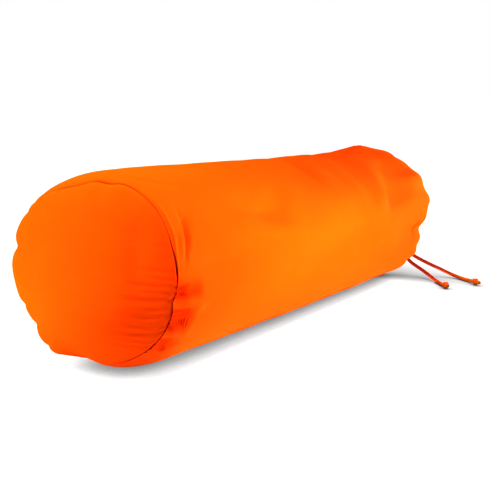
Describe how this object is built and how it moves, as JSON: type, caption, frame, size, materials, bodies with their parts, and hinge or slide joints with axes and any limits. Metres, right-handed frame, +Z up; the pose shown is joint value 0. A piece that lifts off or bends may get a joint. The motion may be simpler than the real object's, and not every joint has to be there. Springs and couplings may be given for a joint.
{
  "type": "yoga bolster",
  "caption": "Round filled yoga bolster lying on its side: cotton tube, round panel sewn into one end, the other end drawn shut by a cord with knotted tails.",
  "frame": {"origin": "on the ground, under the middle of the bolster's box without its cord", "axes": "+X from the sewn round panel to the drawn end, +Z up, -Y towards the side that is seen"},
  "size_m": [0.7599, 0.3286, 0.2332],
  "materials": {
    "orange_cotton": "matt plain-woven cotton",
    "drawcord": "braided round cord"
  },
  "bodies": {
    "root": {"cover_tube": "orange_cotton", "end_panel": "orange_cotton", "tail_a": "drawcord", "tail_b": "drawcord", "knot_a": "drawcord", "knot_b": "drawcord"}
  },
  "joints": []
}
